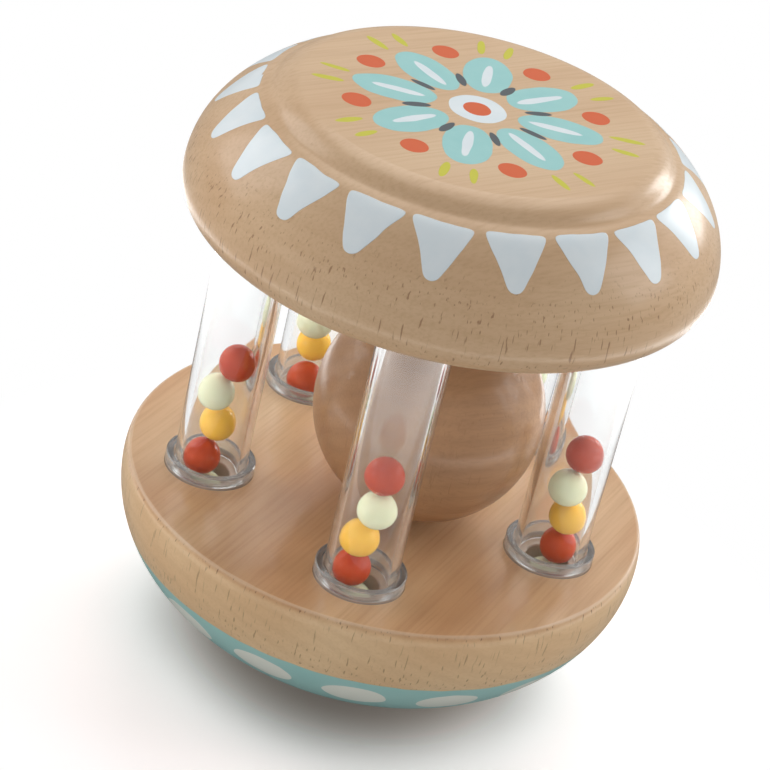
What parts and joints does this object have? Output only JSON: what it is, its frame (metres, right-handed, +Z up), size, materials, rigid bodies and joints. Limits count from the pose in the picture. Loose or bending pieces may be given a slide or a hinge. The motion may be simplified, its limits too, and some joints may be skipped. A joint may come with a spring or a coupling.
{
  "type": "wooden rattle",
  "caption": "Baby rattle with two turned beech discs joined by clear bead-filled tubes in a ring, caging a loose wooden ball; the lower disc is a painted rocking dome.",
  "frame": {"origin": "centre of the small flat foot under the lower disc's dome", "axes": "+Z up along the rattle's axis, through both discs; -Y towards the front tube"},
  "size_m": [0.1164, 0.1164, 0.1343],
  "materials": {
    "beech": "fine sanded beech, thin clear lacquer, partly painted",
    "ball_wood": "smooth turned beech, waxed",
    "clear_acrylic": "clear polished acrylic",
    "bead_cream": "glossy",
    "bead_red": "glossy",
    "bead_yellow": "glossy"
  },
  "bodies": {
    "frame": {"lower_disc": "beech", "upper_disc": "beech", "tube_front": "clear_acrylic", "lower_cap_front": "clear_acrylic", "upper_cap_front": "clear_acrylic", "tube_right": "clear_acrylic", "lower_cap_right": "clear_acrylic", "upper_cap_right": "clear_acrylic", "tube_back_right": "clear_acrylic", "lower_cap_back_right": "clear_acrylic", "upper_cap_back_right": "clear_acrylic", "tube_back_left": "clear_acrylic", "lower_cap_back_left": "clear_acrylic", "upper_cap_back_left": "clear_acrylic", "tube_left": "clear_acrylic", "lower_cap_left": "clear_acrylic", "upper_cap_left": "clear_acrylic"},
    "bead_front_1": {"bead_front_1": "bead_cream"},
    "bead_front_2": {"bead_front_2": "bead_red"},
    "bead_front_3": {"bead_front_3": "bead_yellow"},
    "bead_front_4": {"bead_front_4": "bead_cream"},
    "bead_front_5": {"bead_front_5": "bead_red"},
    "bead_right_1": {"bead_right_1": "bead_cream"},
    "bead_right_2": {"bead_right_2": "bead_red"},
    "bead_right_3": {"bead_right_3": "bead_yellow"},
    "bead_right_4": {"bead_right_4": "bead_cream"},
    "bead_right_5": {"bead_right_5": "bead_red"},
    "bead_back_right_1": {"bead_back_right_1": "bead_cream"},
    "bead_back_right_2": {"bead_back_right_2": "bead_red"},
    "bead_back_right_3": {"bead_back_right_3": "bead_yellow"},
    "bead_back_right_4": {"bead_back_right_4": "bead_cream"},
    "bead_back_right_5": {"bead_back_right_5": "bead_red"},
    "bead_back_left_1": {"bead_back_left_1": "bead_cream"},
    "bead_back_left_2": {"bead_back_left_2": "bead_red"},
    "bead_back_left_3": {"bead_back_left_3": "bead_yellow"},
    "bead_back_left_4": {"bead_back_left_4": "bead_cream"},
    "bead_back_left_5": {"bead_back_left_5": "bead_red"},
    "bead_left_1": {"bead_left_1": "bead_cream"},
    "bead_left_2": {"bead_left_2": "bead_red"},
    "bead_left_3": {"bead_left_3": "bead_yellow"},
    "bead_left_4": {"bead_left_4": "bead_cream"},
    "bead_left_5": {"bead_left_5": "bead_red"},
    "loose_ball": {"loose_ball": "ball_wood"}
  },
  "joints": [
    {"name": "bead_front_1_slide", "type": "slide", "parent": "frame", "child": "bead_front_1", "axis": [0, 0, 1], "range_m": [0, 0.031]},
    {"name": "bead_front_2_slide", "type": "slide", "parent": "frame", "child": "bead_front_2", "axis": [0, 0, 1], "range_m": [0, 0.031]},
    {"name": "bead_front_3_slide", "type": "slide", "parent": "frame", "child": "bead_front_3", "axis": [0, 0, 1], "range_m": [0, 0.031]},
    {"name": "bead_front_4_slide", "type": "slide", "parent": "frame", "child": "bead_front_4", "axis": [0, 0, 1], "range_m": [0, 0.031]},
    {"name": "bead_front_5_slide", "type": "slide", "parent": "frame", "child": "bead_front_5", "axis": [0, 0, 1], "range_m": [0, 0.031]},
    {"name": "bead_right_1_slide", "type": "slide", "parent": "frame", "child": "bead_right_1", "axis": [0, 0, 1], "range_m": [0, 0.0313]},
    {"name": "bead_right_2_slide", "type": "slide", "parent": "frame", "child": "bead_right_2", "axis": [0, 0, 1], "range_m": [0, 0.0313]},
    {"name": "bead_right_3_slide", "type": "slide", "parent": "frame", "child": "bead_right_3", "axis": [0, 0, 1], "range_m": [0, 0.0313]},
    {"name": "bead_right_4_slide", "type": "slide", "parent": "frame", "child": "bead_right_4", "axis": [0, 0, 1], "range_m": [0, 0.0313]},
    {"name": "bead_right_5_slide", "type": "slide", "parent": "frame", "child": "bead_right_5", "axis": [0, 0, 1], "range_m": [0, 0.0313]},
    {"name": "bead_back_right_1_slide", "type": "slide", "parent": "frame", "child": "bead_back_right_1", "axis": [0, 0, 1], "range_m": [0, 0.0333]},
    {"name": "bead_back_right_2_slide", "type": "slide", "parent": "frame", "child": "bead_back_right_2", "axis": [0, 0, 1], "range_m": [0, 0.0333]},
    {"name": "bead_back_right_3_slide", "type": "slide", "parent": "frame", "child": "bead_back_right_3", "axis": [0, 0, 1], "range_m": [0, 0.0333]},
    {"name": "bead_back_right_4_slide", "type": "slide", "parent": "frame", "child": "bead_back_right_4", "axis": [0, 0, 1], "range_m": [0, 0.0333]},
    {"name": "bead_back_right_5_slide", "type": "slide", "parent": "frame", "child": "bead_back_right_5", "axis": [0, 0, 1], "range_m": [0, 0.0333]},
    {"name": "bead_back_left_1_slide", "type": "slide", "parent": "frame", "child": "bead_back_left_1", "axis": [0, 0, 1], "range_m": [0, 0.0332]},
    {"name": "bead_back_left_2_slide", "type": "slide", "parent": "frame", "child": "bead_back_left_2", "axis": [0, 0, 1], "range_m": [0, 0.0332]},
    {"name": "bead_back_left_3_slide", "type": "slide", "parent": "frame", "child": "bead_back_left_3", "axis": [0, 0, 1], "range_m": [0, 0.0332]},
    {"name": "bead_back_left_4_slide", "type": "slide", "parent": "frame", "child": "bead_back_left_4", "axis": [0, 0, 1], "range_m": [0, 0.0332]},
    {"name": "bead_back_left_5_slide", "type": "slide", "parent": "frame", "child": "bead_back_left_5", "axis": [0, 0, 1], "range_m": [0, 0.0332]},
    {"name": "bead_left_1_slide", "type": "slide", "parent": "frame", "child": "bead_left_1", "axis": [0, 0, 1], "range_m": [0, 0.032]},
    {"name": "bead_left_2_slide", "type": "slide", "parent": "frame", "child": "bead_left_2", "axis": [0, 0, 1], "range_m": [0, 0.032]},
    {"name": "bead_left_3_slide", "type": "slide", "parent": "frame", "child": "bead_left_3", "axis": [0, 0, 1], "range_m": [0, 0.032]},
    {"name": "bead_left_4_slide", "type": "slide", "parent": "frame", "child": "bead_left_4", "axis": [0, 0, 1], "range_m": [0, 0.032]},
    {"name": "bead_left_5_slide", "type": "slide", "parent": "frame", "child": "bead_left_5", "axis": [0, 0, 1], "range_m": [0, 0.032]},
    {"name": "loose_ball_roll", "type": "slide", "parent": "frame", "child": "loose_ball", "axis": [-0.5878, 0.809, 0], "range_m": [0, 0.0157]}
  ],
  "couplings": [
    {"joint": "bead_front_2_slide", "follows": "bead_front_1_slide", "ratio": 1},
    {"joint": "bead_front_3_slide", "follows": "bead_front_1_slide", "ratio": 1},
    {"joint": "bead_front_4_slide", "follows": "bead_front_1_slide", "ratio": 1},
    {"joint": "bead_front_5_slide", "follows": "bead_front_1_slide", "ratio": 1},
    {"joint": "bead_right_2_slide", "follows": "bead_right_1_slide", "ratio": 1},
    {"joint": "bead_right_3_slide", "follows": "bead_right_1_slide", "ratio": 1},
    {"joint": "bead_right_4_slide", "follows": "bead_right_1_slide", "ratio": 1},
    {"joint": "bead_right_5_slide", "follows": "bead_right_1_slide", "ratio": 1},
    {"joint": "bead_back_right_2_slide", "follows": "bead_back_right_1_slide", "ratio": 1},
    {"joint": "bead_back_right_3_slide", "follows": "bead_back_right_1_slide", "ratio": 1},
    {"joint": "bead_back_right_4_slide", "follows": "bead_back_right_1_slide", "ratio": 1},
    {"joint": "bead_back_right_5_slide", "follows": "bead_back_right_1_slide", "ratio": 1},
    {"joint": "bead_back_left_2_slide", "follows": "bead_back_left_1_slide", "ratio": 1},
    {"joint": "bead_back_left_3_slide", "follows": "bead_back_left_1_slide", "ratio": 1},
    {"joint": "bead_back_left_4_slide", "follows": "bead_back_left_1_slide", "ratio": 1},
    {"joint": "bead_back_left_5_slide", "follows": "bead_back_left_1_slide", "ratio": 1},
    {"joint": "bead_left_2_slide", "follows": "bead_left_1_slide", "ratio": 1},
    {"joint": "bead_left_3_slide", "follows": "bead_left_1_slide", "ratio": 1},
    {"joint": "bead_left_4_slide", "follows": "bead_left_1_slide", "ratio": 1},
    {"joint": "bead_left_5_slide", "follows": "bead_left_1_slide", "ratio": 1}
  ]
}
